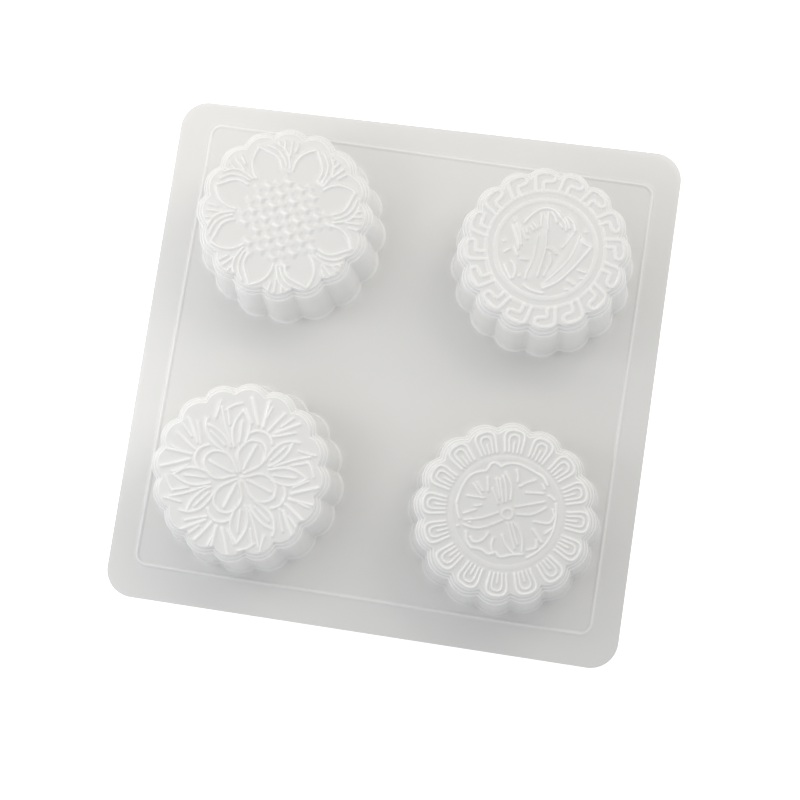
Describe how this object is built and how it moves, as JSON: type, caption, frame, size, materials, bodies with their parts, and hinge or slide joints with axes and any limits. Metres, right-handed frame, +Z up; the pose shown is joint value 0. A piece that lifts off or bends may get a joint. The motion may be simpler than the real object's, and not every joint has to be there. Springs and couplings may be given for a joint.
{
  "type": "mooncake mould tray",
  "caption": "Thin formed plastic tray with scalloped round cups whose flat tops carry moulded relief, for shaping mooncakes or jellies, on a flat border with a raised bead.",
  "frame": {"origin": "centre of the tray's outline in plan, on the underside of its flat border, which is the plane it rests on", "axes": "+Z up through the crowns of the cups; +X towards the side with the key fret and petal ring cups; +Y towards the side with the sunflower and key fret cups"},
  "size_m": [0.2044, 0.2072, 0.0317],
  "materials": {
    "sheet_plastic": "translucent milky white food-grade sheet, softly glossy, unprinted"
  },
  "bodies": {
    "root": {"rim_flange": "sheet_plastic", "border_bead": "sheet_plastic", "deck_panel": "sheet_plastic", "sunflower_wall": "sheet_plastic", "sunflower_shoulder": "sheet_plastic", "sunflower_crown": "sheet_plastic", "key_fret_wall": "sheet_plastic", "key_fret_shoulder": "sheet_plastic", "key_fret_crown": "sheet_plastic", "blossom_wall": "sheet_plastic", "blossom_shoulder": "sheet_plastic", "blossom_crown": "sheet_plastic", "petal_ring_wall": "sheet_plastic", "petal_ring_shoulder": "sheet_plastic", "petal_ring_crown": "sheet_plastic"}
  },
  "joints": []
}
